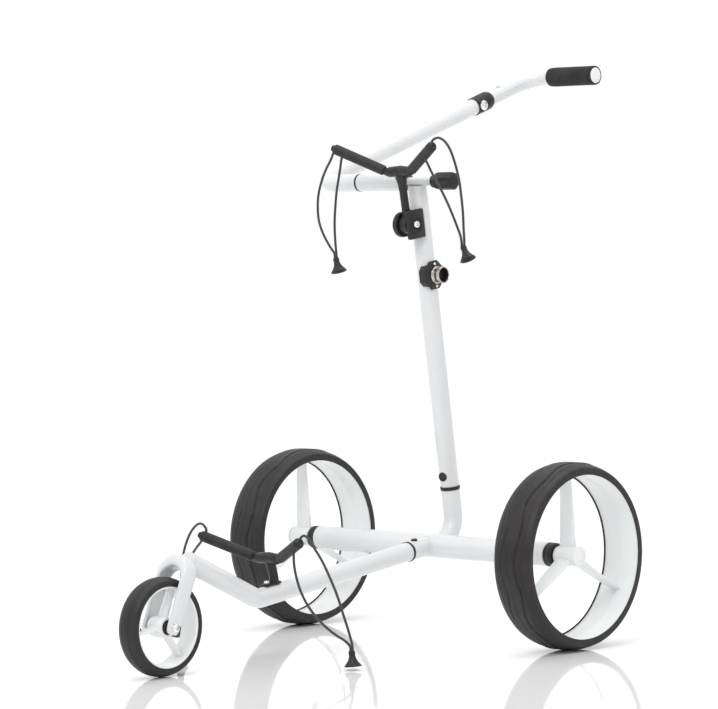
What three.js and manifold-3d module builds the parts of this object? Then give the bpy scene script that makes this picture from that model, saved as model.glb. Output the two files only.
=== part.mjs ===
// Three-wheel golf push cart with one offset handle tube. Millimetres, +Z up, the cart travels toward -Y,
// the wheel axle runs along X, and the origin is on the floor under the middle of the cart.
import * as THREE from 'three';
import { mergeVertices } from 'three/addons/utils/BufferGeometryUtils.js';
import Module from 'manifold-3d';

const wasm = await Module();
wasm.setup();

// ---------------------------------------------------------------- driving dimensions
const GAP = 0.3;                    // clearance between pieces that touch
const REAR_AXLE_Y = 71;             // rear axle behind the middle of the footprint
const REAR_R = 145;                 // rear wheel radius over the tread
const REAR_X = 285;                 // half track, to the middle of each rear wheel
const REAR_RIM_R = 131.2;           // tyre seat of the rear rim
const FRONT_R = 74;
const FRONT_RIM_R = 60.6;
const FRONT_HUB = new THREE.Vector3(0, -600, FRONT_R);

const AXLE_TUBE_R = 19;
const AXLE_TUBE_BORE = 16.5;
const AXLE_TUBE_HALF = 246;
const COLLAR_END = 262;             // outer face of the black collar beside each wheel
const AXLE_R = 6;                   // stub axles
const AXLE_IN = 200;
const AXLE_OUT = 301;

const TUBE_R = 15;                  // mast, base bend and front arm
const TUBE_BORE = 12.9;
const SPIGOT_R = 12.6;
const SPIGOT_BORE = 10.7;
const PLUG_DEPTH = 70;              // how far the mast slides over its spigot
const ARM_PLUG_DEPTH = 54;

const MAST_LEAN = THREE.MathUtils.degToRad(8);
const MAST_SEAM = new THREE.Vector3(0, 46.3, 231.5);
const MAST_LENGTH = 487;            // seam to the underside of the cross sleeve
const CROSS_HEIGHT = 500;           // seam to the handle axis, along the mast
const BASE_CORNER = new THREE.Vector3(0, 57.2, 154.3);
const ARM_SEAM = new THREE.Vector3(0, -54, 140.2);
const ARM_CORNER = new THREE.Vector3(0, -399, 96.5);
const ARM_END = new THREE.Vector3(0, -545, 166.9);
const BASE_BEND_R = 38;
const ARM_BEND_R = 36;

const FORK_LEAN = THREE.MathUtils.degToRad(-24);
const FORK_HALF = 30.5;             // half width over the legs
const FORK_INNER = 22.5;
const FORK_TOP = 111.5;

const HANDLE_RISE = THREE.MathUtils.degToRad(18.4);
const HANDLE_X = -215.5;            // plane of the long handle tubes
const HANDLE_BEND_R = 43;
const HANDLE_R = 14;
const HANDLE_BORE = 12.8;
const UPPER_R = 12.5;
const UPPER_BORE = 10.8;
const COLLAR_START = 404;           // telescope collar, measured along the handle from the tilt axis
const COLLAR_STOP = 447;
const LOWER_STOP = 425;
const BOLT_PLACE = 413;             // clamp bolt along the handle
const UPPER_START = 275;
const GRIP_LINE = 568;              // distance from the tilt axis to the grip
const GRIP_START = -172;
const GRIP_STOP = -73.5;
const CROSS_START = -17.6;          // end of the handle cross tube, beside the mast
const RING_X = -122;

const PIVOT = new THREE.Vector3(0, -31, 436);   // upper bracket tilt axis, in the mast's own frame
const KNUCKLE_R = 14.6;
const ARM_ROD_R = 5;
const ELBOW_OUT = 23.7;             // bracket elbow from the middle plane
const ELBOW_BEND_R = 14;
const SLEEVE_R = 8.2;
const TIP_OUT = 103;                // bracket tip from the middle plane
const SOCKET_HEIGHT = 350;          // umbrella socket up the mast

const CORD_R = 2;
const BOLT_R = 4;                   // front axle, pivot bolt and draw rod shanks
const SCREW_BORE = 2.6;
const COLLAR_BOLT_R = 3;
const BUTTON_CLEAR = 0.4;           // round every push button in its hole
const KEYWAY_HALF_MAST = 7.4;
const KEYWAY_HALF_ARM = 5.4;
const BUTTON_R = 7;
const BUTTON_UP = 24;               // mast button above its seam
const ARM_BUTTON_BACK = 14;         // arm button behind its seam
const ARM_BUTTON_R = 5;

// ---------------------------------------------------------------- materials
const finish = (color, roughness, metalness) =>
  new THREE.MeshStandardMaterial({ color, roughness, metalness });
const WHITE = finish(0xf2f3f4, 0.25, 0.0);
const RIM_WHITE = finish(0xeceeee, 0.3, 0.0);
const BLACK = finish(0x2b2829, 0.5, 0.0);
const RUBBER = finish(0x282526, 0.75, 0.0);
const FOAM = finish(0x2a2728, 0.9, 0.0);
const CORD = finish(0x242122, 0.85, 0.0);
const STEEL = finish(0xc9cac8, 0.25, 1.0);
const NICKEL = finish(0xb9ae9c, 0.3, 1.0);

// ---------------------------------------------------------------- geometry helpers
const V = (x, y, z) => new THREE.Vector3(x, y, z);
const TURN = Math.PI / 2;

/** Merges shared corners, drops collapsed triangles and turns the faces outward. */
function closed(geometry) {
  const bare = new THREE.BufferGeometry();
  bare.setAttribute('position', geometry.getAttribute('position').clone());
  if (geometry.index) bare.setIndex(geometry.index.clone());
  const merged = mergeVertices(bare, 1e-4);
  const p = merged.getAttribute('position');
  const kept = [];
  let volume = 0;
  for (let i = 0; i < merged.index.count; i += 3) {
    const [a, b, c] = [0, 1, 2].map((k) => merged.index.getX(i + k));
    if (a === b || b === c || a === c) continue;
    kept.push(a, b, c);
    const corner = (n) => V(p.getX(n), p.getY(n), p.getZ(n));
    volume += corner(a).dot(corner(b).cross(corner(c)));
  }
  if (volume < 0) kept.reverse();
  merged.setIndex(kept);
  return merged;
}

/** A closed geometry as a solid for joining and cutting. */
function solid(geometry) {
  const g = closed(geometry);
  return new wasm.Manifold(new wasm.Mesh({
    numProp: 3,
    vertProperties: new Float32Array(g.getAttribute('position').array),
    triVerts: new Uint32Array(g.index.array),
  }));
}

/** A solid back as a geometry. */
function shapeOf(body) {
  const mesh = body.getMesh();
  const geometry = new THREE.BufferGeometry();
  geometry.setAttribute('position', new THREE.BufferAttribute(new Float32Array(mesh.vertProperties), 3));
  geometry.setIndex([...mesh.triVerts]);
  return geometry;
}

const join = (...geometries) => geometries.map(solid).reduce((a, b) => a.add(b));
const cut = (body, ...geometries) => geometries.map(solid).reduce((a, b) => a.subtract(b), body);

/** A route through listed points: each ring of the tube lands on one point. */
class Route extends THREE.Curve {
  constructor(points) {
    super();
    this.points = points;
  }

  getPoint(t) {
    const last = this.points.length - 1;
    const i = Math.min(Math.floor(t * last + 1e-9), last - 1);
    return this.points[i].clone().lerp(this.points[i + 1], t * last - i);
  }

  getPointAt(t) {
    return this.getPoint(t);
  }

  getTangent(t) {
    const last = this.points.length - 1;
    const i = Math.round(t * last);
    const before = this.points[Math.max(i - 1, 0)];
    const after = this.points[Math.min(i + 1, last)];
    const here = this.points[i];
    const way = here.clone().sub(before).normalize().add(after.clone().sub(here).normalize());
    return way.normalize();
  }

  getTangentAt(t) {
    return this.getTangent(t);
  }
}

/** Corner points with each inner corner rounded to a radius. */
function rounded(corners, radius, steps = 6) {
  const out = [corners[0]];
  for (let i = 1; i < corners.length - 1; i += 1) {
    const back = corners[i - 1].clone().sub(corners[i]).normalize();
    const on = corners[i + 1].clone().sub(corners[i]).normalize();
    const half = back.angleTo(on) / 2;
    const middle = back.clone().add(on).normalize().multiplyScalar(radius / Math.sin(half)).add(corners[i]);
    const start = corners[i].clone().addScaledVector(back, radius / Math.tan(half)).sub(middle);
    const stop = corners[i].clone().addScaledVector(on, radius / Math.tan(half)).sub(middle);
    const axis = start.clone().cross(stop).normalize();
    const sweep = start.angleTo(stop);
    for (let k = 0; k <= steps; k += 1) {
      out.push(start.clone().applyAxisAngle(axis, (sweep * k) / steps).add(middle));
    }
  }
  out.push(corners[corners.length - 1]);
  return out;
}

/** A round tube along listed points; a bore of 0 makes a solid rod. */
function tube(points, outer, bore = 0, sides = 16) {
  const section = new THREE.Shape();
  section.absarc(0, 0, outer, 0, Math.PI * 2, false);
  if (bore > 0) {
    const hole = new THREE.Path();
    hole.absarc(0, 0, bore, 0, Math.PI * 2, true);
    section.holes.push(hole);
  }
  return new THREE.ExtrudeGeometry(section, {
    steps: points.length - 1,
    extrudePath: new Route(points),
    curveSegments: sides / 2,
    bevelEnabled: false,
  });
}

/** A turned piece about the X axis; profile points are [radius, x]. */
function turnedX(profile, sides = 32) {
  const points = profile.map(([r, x]) => new THREE.Vector2(r, x));
  return new THREE.LatheGeometry(points, sides).rotateZ(-TURN);
}

/** A turned piece about the Z axis; profile points are [radius, z]. */
function turnedZ(profile, sides = 24) {
  const points = profile.map(([r, z]) => new THREE.Vector2(r, z));
  return new THREE.LatheGeometry(points, sides).rotateX(TURN);
}

/** A profile of a plain ring from x0 to x1. */
const band = (outer, inner, x0, x1) => [[inner, x0], [outer, x0], [outer, x1], [inner, x1], [inner, x0]];

/** A profile of a plain disc or rod from x0 to x1. */
const rod = (r, x0, x1) => [[0, x0], [r, x0], [r, x1], [0, x1]];

/** A flat outline in the YZ plane, given as [y, z] points, made into a plate from x0 to x1. */
function plate(outline, x0, x1) {
  const shape = new THREE.Shape(outline.map(([y, z]) => new THREE.Vector2(y, z)));
  const geometry = new THREE.ExtrudeGeometry(shape, { depth: x1 - x0, bevelEnabled: false });
  return geometry.applyMatrix4(new THREE.Matrix4().makeBasis(V(0, 1, 0), V(0, 0, 1), V(1, 0, 0)))
    .translate(x0, 0, 0);
}

const box = (x0, x1, y0, y1, z0, z1) =>
  new THREE.BoxGeometry(x1 - x0, y1 - y0, z1 - z0).translate((x0 + x1) / 2, (y0 + y1) / 2, (z0 + z1) / 2);

const cart = new THREE.Group();

/** Adds one named sub-part to a group. */
function piece(group, name, geometry, material) {
  const mesh = new THREE.Mesh(closed(geometry), material);
  mesh.name = name;
  mesh.geometry.computeVertexNormals();
  group.add(mesh);
  return mesh;
}

const group = (position, turn = 0, parent = cart) => {
  const g = new THREE.Group();
  g.position.copy(position);
  g.rotation.x = turn;
  parent.add(g);
  return g;
};

const SIDES = [['left', 1], ['right', -1]];     // the cart's own left wheel is toward +X

// ---------------------------------------------------------------- directions shared by the frame pieces
const along = (start, way, distance) => start.clone().addScaledVector(way, distance);
const mastUp = V(0, -Math.sin(MAST_LEAN), Math.cos(MAST_LEAN));
const armOn = ARM_CORNER.clone().sub(ARM_SEAM).normalize();
const armNormal = V(0, armOn.z, -armOn.y);
const forkwards = ARM_END.clone().sub(ARM_CORNER).normalize();

/** Places geometry whose own Y is the arm's upward side and whose own Z runs forward along the arm. */
const onArm = (geometry, origin) =>
  geometry.applyMatrix4(new THREE.Matrix4().makeBasis(V(1, 0, 0), armNormal, armOn).setPosition(origin));

const ringProfile = (height) => band(TUBE_R + 1, TUBE_R + GAP, 0, height);
const buttonProfile = (r, foot, top) => [[0, foot], [r, foot], [r, top - 0.8], [r - 1.2, top], [0, top]];

// ---------------------------------------------------------------- base frame
/** Axle tube with the bent base tube welded through it, and the spigot that the mast slides over. */
function baseFrame() {
  const spigotTop = along(MAST_SEAM, mastUp, PLUG_DEPTH);
  const bore = rounded([along(spigotTop, mastUp, 5), BASE_CORNER, along(ARM_SEAM, armOn, 5)], BASE_BEND_R, 5);
  const holeFoot = along(MAST_SEAM, mastUp, BUTTON_UP);
  const front = V(0, -Math.cos(MAST_LEAN), -Math.sin(MAST_LEAN));
  const armHole = along(ARM_SEAM, armOn, -ARM_BUTTON_BACK);
  const axle = (r, x0, x1) => turnedX(rod(r, x0, x1), 20).translate(0, 0, REAR_R);
  const body = join(
    axle(AXLE_TUBE_R, -AXLE_TUBE_HALF, AXLE_TUBE_HALF),
    tube(rounded([MAST_SEAM, BASE_CORNER, ARM_SEAM], BASE_BEND_R, 5), TUBE_R),
    tube([along(MAST_SEAM, mastUp, -8), spigotTop], SPIGOT_R),
  );
  return shapeOf(cut(
    body,
    axle(AXLE_TUBE_BORE, -AXLE_TUBE_HALF - 5, -25),
    axle(AXLE_TUBE_BORE, 25, AXLE_TUBE_HALF + 5),
    tube(bore, SPIGOT_BORE),
    tube([holeFoot, along(holeFoot, front, 30)], BUTTON_R + BUTTON_CLEAR, 0, 20),
    box(-KEYWAY_HALF_MAST, KEYWAY_HALF_MAST, -20, -8, BUTTON_UP, PLUG_DEPTH + 5)
      .rotateX(MAST_LEAN).translate(...MAST_SEAM),
    tube([armHole, along(armHole, armNormal, 30)], ARM_BUTTON_R + BUTTON_CLEAR, 0, 20),
  ));
}

piece(cart, 'base_frame', baseFrame(), WHITE);
piece(cart, 'arm_button', onArm(
  turnedZ(buttonProfile(ARM_BUTTON_R, 11.5, TUBE_R + 2.6), 20).rotateX(-TURN),
  along(ARM_SEAM, armOn, -ARM_BUTTON_BACK),
), BLACK);

// ---------------------------------------------------------------- rear wheels
/** Three blades round a hub, wide along the axle and thin across; first is the first one's turn from +Y. */
function spokes(first, [root, rootHalf], [reach, tipHalf], halfThick, middle) {
  const outline = [[root, -rootHalf], [reach, -tipHalf], [reach, tipHalf], [root, rootHalf]];
  return [0, 1, 2].map((i) => plate(outline, -halfThick, halfThick)
    .rotateY(TURN).translate(middle, 0, 0).rotateX(first + (i * 2 * Math.PI) / 3));
}

const REAR_HUB_R = 16;
const REAR_BEARING_R = 12;
const REAR_SPOKE_TURN = THREE.MathUtils.degToRad(92);
const rearRimWall = band(REAR_RIM_R, 128.4, -33, 33);
const rearTyreWall = [[REAR_RIM_R + GAP, -33], [141, -33], [REAR_R, -15], [REAR_R, 15], [141, 33],
  [REAR_RIM_R + GAP, 33], [REAR_RIM_R + GAP, -33]];

/** One rear wheel about its own centre; out is +1 or -1, the side its cap faces. */
function rearWheel(side, out) {
  const wheel = group(V(out * REAR_X, 0, REAR_R));
  const facing = (profile) => profile.map(([r, x]) => [r, out * x]);
  const rim = cut(
    join(
      turnedX(rearRimWall, 32),
      turnedX(facing(rod(REAR_HUB_R, COLLAR_END + 1 - REAR_X, 18)), 18),
      ...spokes(REAR_SPOKE_TURN, [12, 15], [129.3, 10], 3.2, out * -2),
    ),
    turnedX(rod(REAR_BEARING_R + GAP, -40, 40), 18),
  );
  piece(wheel, `rear_rim_${side}`, shapeOf(rim), RIM_WHITE);
  piece(wheel, `rear_tyre_${side}`, turnedX(rearTyreWall, 32), RUBBER);
  const places = { inner: COLLAR_END + 2 - REAR_X, outer: AXLE_OUT - 7 - REAR_X };
  for (const [where, x] of Object.entries(places)) {
    const ball = facing(band(REAR_BEARING_R, AXLE_R + GAP, x, x + 6));
    piece(wheel, `rear_bearing_${side}_${where}`, turnedX(ball, 24), STEEL);
  }
  const cap = [[0, 16.6], [11.8, 16.6], [11.8, 18 + GAP], [15.6, 18 + GAP], [15, 21], [12, 22.5], [0, 23]];
  piece(wheel, `rear_hub_cap_${side}`, turnedX(facing(cap), 20), RIM_WHITE);
}

for (const [side, out] of SIDES) {
  const axle = group(V(0, 0, REAR_R));
  const facing = (profile) => profile.map(([r, x]) => [r, out * x]);
  const seat = AXLE_TUBE_BORE - GAP;
  const collar = [[AXLE_R + GAP, AXLE_TUBE_HALF - 22], [seat, AXLE_TUBE_HALF - 22],
    [seat, AXLE_TUBE_HALF + GAP], [18.6, AXLE_TUBE_HALF + GAP], [18.6, COLLAR_END - 2],
    [17, COLLAR_END], [AXLE_R + GAP, COLLAR_END], [AXLE_R + GAP, AXLE_TUBE_HALF - 22]];
  piece(axle, `axle_collar_${side}`, turnedX(facing(collar), 20), BLACK);
  piece(axle, `stub_axle_${side}`, turnedX(facing(rod(AXLE_R, AXLE_IN, AXLE_OUT)), 20), STEEL);
  rearWheel(side, out);
}

// ---------------------------------------------------------------- front arm and fork
const BRACKET_FOOT = along(ARM_SEAM, armOn, 306.5);    // on the arm's axis, under the lower bracket
const SCREW_AHEAD = 16;

/** Fork: an arch across X, thinned by its side outline, in its own upright frame at the hub. */
function fork() {
  const archUp = FORK_TOP - FORK_HALF;
  const outline = new THREE.Shape();
  outline.moveTo(FORK_HALF, -13);
  outline.lineTo(FORK_HALF, archUp);
  outline.absarc(0, archUp, FORK_HALF, 0, Math.PI, false);
  outline.lineTo(-FORK_HALF, -13);
  outline.lineTo(-FORK_INNER, -13);
  outline.lineTo(-FORK_INNER, archUp - 12);
  outline.absarc(0, archUp - 12, FORK_INNER, Math.PI, 0, true);
  outline.lineTo(FORK_INNER, -13);
  const arch = new THREE.ExtrudeGeometry(outline, { depth: 40, bevelEnabled: false, curveSegments: 14 });
  arch.rotateX(TURN).translate(0, 20, 0);
  const sideOutline = [[-9, -8], [-4, -12], [4, -12], [9, -8], [11, 4], [14, 70], [13, FORK_TOP + 2],
    [-10, FORK_TOP + 2], [-14, 92], [-11, 4]];
  return solid(arch).intersect(solid(plate(sideOutline, -FORK_HALF - 1, FORK_HALF + 1)));
}

/** The bent arm with its plug-in end, and the fork moulded to its front end. */
function frontArm() {
  const place = new THREE.Matrix4().makeRotationX(FORK_LEAN).setPosition(FRONT_HUB);
  const plugEnd = along(ARM_SEAM, armOn, -ARM_PLUG_DEPTH);
  const boreRoute = [along(ARM_SEAM, armOn, 16), ARM_CORNER, along(ARM_END, forkwards, -30)];
  const armHole = along(ARM_SEAM, armOn, -ARM_BUTTON_BACK);
  const screwHole = along(along(BRACKET_FOOT, armOn, SCREW_AHEAD), armNormal, 8);
  const body = join(
    tube(rounded([along(ARM_SEAM, armOn, GAP), ARM_CORNER, ARM_END], ARM_BEND_R), TUBE_R),
    tube([plugEnd, along(ARM_SEAM, armOn, 12)], SPIGOT_BORE - GAP),
    shapeOf(fork()).applyMatrix4(place),
  );
  return shapeOf(cut(
    body,
    tube([along(plugEnd, armOn, -5), along(ARM_SEAM, armOn, 18)], 8.4, 0, 20),
    tube(rounded(boreRoute, ARM_BEND_R), TUBE_BORE),
    turnedX(rod(BOLT_R + GAP, -40, 40), 20).translate(0, FRONT_HUB.y, FRONT_HUB.z),
    tube([armHole, along(armHole, armNormal, 30)], ARM_BUTTON_R + BUTTON_CLEAR, 0, 20),
    onArm(box(-KEYWAY_HALF_ARM, KEYWAY_HALF_ARM, 6, 20, -ARM_PLUG_DEPTH - 5, -ARM_BUTTON_BACK), ARM_SEAM),
    tube([screwHole, along(screwHole, armNormal, 20)], SCREW_BORE, 0, 12),
  ));
}

piece(cart, 'front_arm', frontArm(), WHITE);
piece(cart, 'arm_seam_ring', onArm(turnedZ(ringProfile(4), 20), along(ARM_SEAM, armOn, 1)), BLACK);

// ---------------------------------------------------------------- front wheel
const FRONT_SPOKE_TURN = THREE.MathUtils.degToRad(67);
const frontRimWall = band(FRONT_RIM_R, 57.2, -17, 17);
const frontTyreWall = [[FRONT_RIM_R + GAP, -18.2], [68, -18.2], [FRONT_R, -7], [FRONT_R, 7], [68, 18.2],
  [FRONT_RIM_R + GAP, 18.2], [FRONT_RIM_R + GAP, -18.2]];
const frontWheel = group(FRONT_HUB);
const frontRim = cut(
  join(
    turnedX(frontRimWall, 28),
    turnedX(rod(15, -15, 15), 16),
    ...spokes(FRONT_SPOKE_TURN, [11, 8.6], [58.4, 7], 3.4, 0),
  ),
  turnedX(rod(11 + GAP, -20, 20), 16),
);
piece(frontWheel, 'front_rim', shapeOf(frontRim), RIM_WHITE);
piece(frontWheel, 'front_tyre', turnedX(frontTyreWall, 28), RUBBER);
for (const [side, out] of SIDES) {
  const bearing = [[BOLT_R + GAP, 8], [11, 8], [11, 15.2], [6.5, 15.6], [6.5, FORK_INNER - GAP],
    [BOLT_R + GAP, FORK_INNER - GAP], [BOLT_R + GAP, 8]].map(([r, x]) => [r, out * x]);
  piece(frontWheel, `front_bearing_${side}`, turnedX(bearing, 16), BLACK);
}
const frontBolt = [[0, -37], [BOLT_R, -37], [BOLT_R, FORK_HALF + GAP], [6.5, FORK_HALF + GAP],
  [6.5, FORK_HALF + 4], [5.2, FORK_HALF + 5], [0, FORK_HALF + 5]];
piece(frontWheel, 'front_axle_bolt', turnedX(frontBolt, 16), STEEL);
const frontNut = cut(
  solid(turnedX(rod(7.5, -36.5, -FORK_HALF - GAP), 6)),
  turnedX(rod(BOLT_R + GAP, -45, -20), 20),
);
piece(frontWheel, 'front_axle_nut', shapeOf(frontNut), STEEL);

// ---------------------------------------------------------------- bag brackets
/** Where a bracket arm turns from sideways to up. */
const elbow = (junction, tip) => V(Math.sign(tip.x) * ELBOW_OUT, junction.y - 3.4, junction.z - 1);

/** A Y bracket's two arm rods with ball ends: sideways from the junction, then up to the tips. */
function bracketArms(junction, tips) {
  const parts = [new THREE.SphereGeometry(7.4, 12, 6).translate(...junction)];
  for (const tip of tips) {
    const way = tip.clone().sub(elbow(junction, tip)).normalize();
    parts.push(tube(rounded([junction, elbow(junction, tip), tip], ELBOW_BEND_R, 3), ARM_ROD_R, 0, 12));
    parts.push(new THREE.SphereGeometry(5.4, 8, 6).translate(...along(tip, way, 2)));
  }
  return parts;
}

/** The padded sleeve on one bracket arm. */
function sleeve(junction, tip) {
  const start = elbow(junction, tip);
  const way = tip.clone().sub(start).normalize();
  return tube([along(start, way, 7), along(tip, way, -4)], SLEEVE_R, ARM_ROD_R + GAP, 12);
}

const LOWER_JUNCTION = V(0, -370, 157);
const lowerTips = SIDES.map(([, out]) => V(out * TIP_OUT, -411, 188));

function lowerBracket() {
  const pad = onArm(box(-8, 8, 11, 19.5, -10, 25), BRACKET_FOOT);
  const stem = tube([along(BRACKET_FOOT, armNormal, 17), LOWER_JUNCTION], 5.5, 0, 12);
  const clear = tube([along(BRACKET_FOOT, armOn, -40), along(BRACKET_FOOT, armOn, 50)], TUBE_R + GAP);
  const screw = along(along(BRACKET_FOOT, armOn, SCREW_AHEAD), armNormal, 8);
  return shapeOf(cut(
    join(pad, stem, ...bracketArms(LOWER_JUNCTION, lowerTips)),
    clear,
    tube([screw, along(screw, armNormal, 20)], SCREW_BORE, 0, 12),
  ));
}

const screwProfile = [[0, 10], [2.3, 10], [2.3, 19.8], [4.4, 19.8], [4.2, 22], [2.6, 23], [0, 23]];
piece(cart, 'lower_bracket', lowerBracket(), BLACK);
piece(cart, 'lower_bracket_screw', onArm(
  turnedZ(screwProfile, 16).rotateX(-TURN),
  along(BRACKET_FOOT, armOn, SCREW_AHEAD),
), STEEL);
SIDES.forEach(([side], i) => {
  piece(cart, `lower_sleeve_${side}`, sleeve(LOWER_JUNCTION, lowerTips[i]), RUBBER);
});

// ---------------------------------------------------------------- mast
const mastGroup = group(MAST_SEAM, MAST_LEAN);
const SLEEVE_OUT = 35.7;            // right end of the cross sleeve, under the clamp knob

/** Mast tube closed at the top under a small cross sleeve. */
function mast() {
  const top = CROSS_HEIGHT - 6;
  const body = join(
    turnedZ(rod(TUBE_R, GAP, top), 20),
    turnedX(rod(7, CROSS_START + 0.6, SLEEVE_OUT), 24).translate(0, 0, CROSS_HEIGHT),
  );
  return shapeOf(cut(
    body,
    turnedZ(rod(TUBE_BORE, -5, MAST_LENGTH), 20),
    turnedX(rod(BOLT_R + GAP, -40, 60), 20).translate(0, 0, CROSS_HEIGHT),
    tube([V(0, 0, BUTTON_UP), V(0, -30, BUTTON_UP)], BUTTON_R + BUTTON_CLEAR, 0, 20),
  ));
}

piece(mastGroup, 'mast', mast(), WHITE);
piece(mastGroup, 'mast_seam_ring', turnedZ(ringProfile(5.5), 20).translate(0, 0, 1), BLACK);
piece(mastGroup, 'mast_button',
  turnedZ(buttonProfile(BUTTON_R, 13.2, TUBE_R + 2.6), 24).rotateX(TURN).translate(0, 0, BUTTON_UP), BLACK);

/** Clamp block in front of the mast: two lugs either side of the bracket's knuckle. */
function clampBlock() {
  const { y, z } = PIVOT;
  const lug = new THREE.CylinderGeometry(20, 20, 8.5, 24).rotateZ(TURN).translate(-12.25, y, z);
  const body = join(
    box(8, 16.5, y - 14, -9, z - 23, z + 23),
    lug,
    box(-16.5, -8, y, -9, z - 20, z + 20),
    box(-9, 9, -23, -10, z - 23, z + 23),
  );
  return shapeOf(cut(
    body,
    turnedX(rod(16, -8, 8), 24).translate(0, y, z),
    turnedX(rod(BOLT_R + GAP, -30, 30), 20).translate(0, y, z),
    turnedZ(rod(TUBE_R + GAP, 300, 500), 20),
  ));
}

const pivotBolt = [[0, -19], [6.5, -19], [6.5, -16.8], [BOLT_R, -16.8], [BOLT_R, 16.8], [7.5, 16.8],
  [7.5, 18.6], [5.5, 20.6], [0, 21.2]];
piece(mastGroup, 'upper_clamp_block', clampBlock(), BLACK);
piece(mastGroup, 'upper_pivot_bolt', turnedX(pivotBolt, 16).translate(0, PIVOT.y, PIVOT.z), STEEL);

// ---------------------------------------------------------------- tilting upper bracket
const tilting = group(PIVOT, 0, mastGroup);
const UPPER_JUNCTION = V(0, -4.5, 86);
const upperTips = SIDES.map(([, out]) => V(out * TIP_OUT, -38.5, 127.7));

function upperBracket() {
  const knuckle = turnedX(rod(KNUCKLE_R, -7.6, 7.6), 24);
  const stem = tube([V(0, -1, 8), UPPER_JUNCTION], 5.5, 0, 12);
  return shapeOf(cut(
    join(knuckle, stem, ...bracketArms(UPPER_JUNCTION, upperTips)),
    turnedX(rod(BOLT_R + GAP, -30, 30), 20),
  ));
}

piece(tilting, 'upper_bracket', upperBracket(), BLACK);
SIDES.forEach(([side], i) => {
  piece(tilting, `upper_sleeve_${side}`, sleeve(UPPER_JUNCTION, upperTips[i]), RUBBER);
});

// ---------------------------------------------------------------- umbrella socket
const socketBlock = cut(
  solid(turnedX([[0, 3.5], [24.5, 3.5], [24.5, 15.5], [18.5, 20], [0, 20]], 8).rotateX(Math.PI / 8)),
  turnedZ(rod(TUBE_R + GAP, -60, 60), 20),
);
const socketProfile = [[0, 20 + GAP], [14, 20 + GAP], [14, 23.5], [13.2, 24.5], [13.2, 36.5], [11.4, 36.5],
  [11.4, 26], [0, 26]];
const socketGroup = group(V(0, 0, SOCKET_HEIGHT), 0, mastGroup);
piece(socketGroup, 'umbrella_block', shapeOf(socketBlock), BLACK);
piece(socketGroup, 'umbrella_socket', turnedX(socketProfile, 20), NICKEL);

// ---------------------------------------------------------------- handle
const crossPoint = along(MAST_SEAM, mastUp, CROSS_HEIGHT);
const handle = group(crossPoint, HANDLE_RISE);
const alongY = (profile, sides) => turnedZ(profile, sides).rotateX(-TURN);

/** Handle cross tube and long lower tube in one bend, with a reduced bore beside the mast. */
function lowerTube() {
  const start = V(CROSS_START, 0, 0);
  const corner = V(HANDLE_X, 0, 0);
  const route = rounded([start, corner, V(HANDLE_X, LOWER_STOP, 0)], HANDLE_BEND_R, 5);
  const bore = rounded([V(CROSS_START - 10, 0, 0), corner, V(HANDLE_X, LOWER_STOP + 5, 0)], HANDLE_BEND_R, 5);
  return shapeOf(cut(
    solid(tube(route, HANDLE_R)),
    tube(bore, HANDLE_BORE),
    turnedX(rod(BOLT_R + GAP, -60, 0), 20),
    turnedX(band(HANDLE_R + 2, HANDLE_R - 0.7, RING_X - 2.2, RING_X + 2.2), 20),
  ));
}

piece(handle, 'handle_lower_tube', lowerTube(), WHITE);
const tiltRing = band(HANDLE_R + 0.2, HANDLE_R - 0.4, RING_X - 1.9, RING_X + 1.9);
piece(handle, 'tilt_ring', turnedX(tiltRing, 20), BLACK);

const drawRod = [[0, -58], [12.3, -58], [12.3, -54], [BOLT_R, -54], [BOLT_R, 56], [0, 56]];
piece(handle, 'draw_rod', turnedX(drawRod, 16), STEEL);

/** Six-lobed clamp knob with a narrow neck toward the mast. */
function knob() {
  const lobes = new THREE.Shape();
  const count = 24;
  for (let i = 0; i < count; i += 1) {
    const a = (i * 2 * Math.PI) / count;
    const r = 13.9 + 0.7 * Math.cos(6 * a);
    if (i === 0) lobes.moveTo(r, 0);
    else lobes.lineTo(r * Math.cos(a), r * Math.sin(a));
  }
  const grip = new THREE.ExtrudeGeometry(lobes, {
    depth: 33, bevelEnabled: true, bevelThickness: 2, bevelSize: 2, bevelOffset: -2, bevelSegments: 1,
  });
  grip.rotateY(TURN).translate(SLEEVE_OUT + 9.3, 0, 0);
  const neck = turnedX(rod(10.5, SLEEVE_OUT + GAP, SLEEVE_OUT + 12), 28);
  return shapeOf(cut(join(grip, neck), turnedX(rod(BOLT_R + GAP, SLEEVE_OUT - 5, 58), 20)));
}

piece(handle, 'clamp_knob', knob(), BLACK);

/** Telescope collar with the boss for its clamp bolt. */
function collar() {
  const ring = alongY([[0, COLLAR_START], [15.6, COLLAR_START], [15.8, LOWER_STOP], [15.2, COLLAR_STOP - 4],
    [13.8, COLLAR_STOP], [0, COLLAR_STOP]], 28);
  const boss = box(4, 17.6, COLLAR_START + 0.5, BOLT_PLACE + 10, -9.5, 9.5);
  return shapeOf(cut(
    join(ring, boss),
    alongY(rod(HANDLE_R + GAP, COLLAR_START - 5, LOWER_STOP + GAP), 28),
    alongY(rod(UPPER_R + GAP, COLLAR_START, COLLAR_STOP + 5), 28),
    turnedX(rod(COLLAR_BOLT_R + GAP, 10, 30), 16).translate(0, BOLT_PLACE, 0),
  ));
}

const long = group(V(HANDLE_X, 0, 0), 0, handle);
piece(long, 'handle_collar', collar(), BLACK);
const collarBolt = [[0, 14.9], [COLLAR_BOLT_R, 14.9], [COLLAR_BOLT_R, 17.9], [8.5, 17.9], [8.5, 19.4],
  [6.5, 21], [0, 21.6]];
piece(long, 'collar_bolt', turnedX(collarBolt, 16).translate(0, BOLT_PLACE, 0), STEEL);

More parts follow.
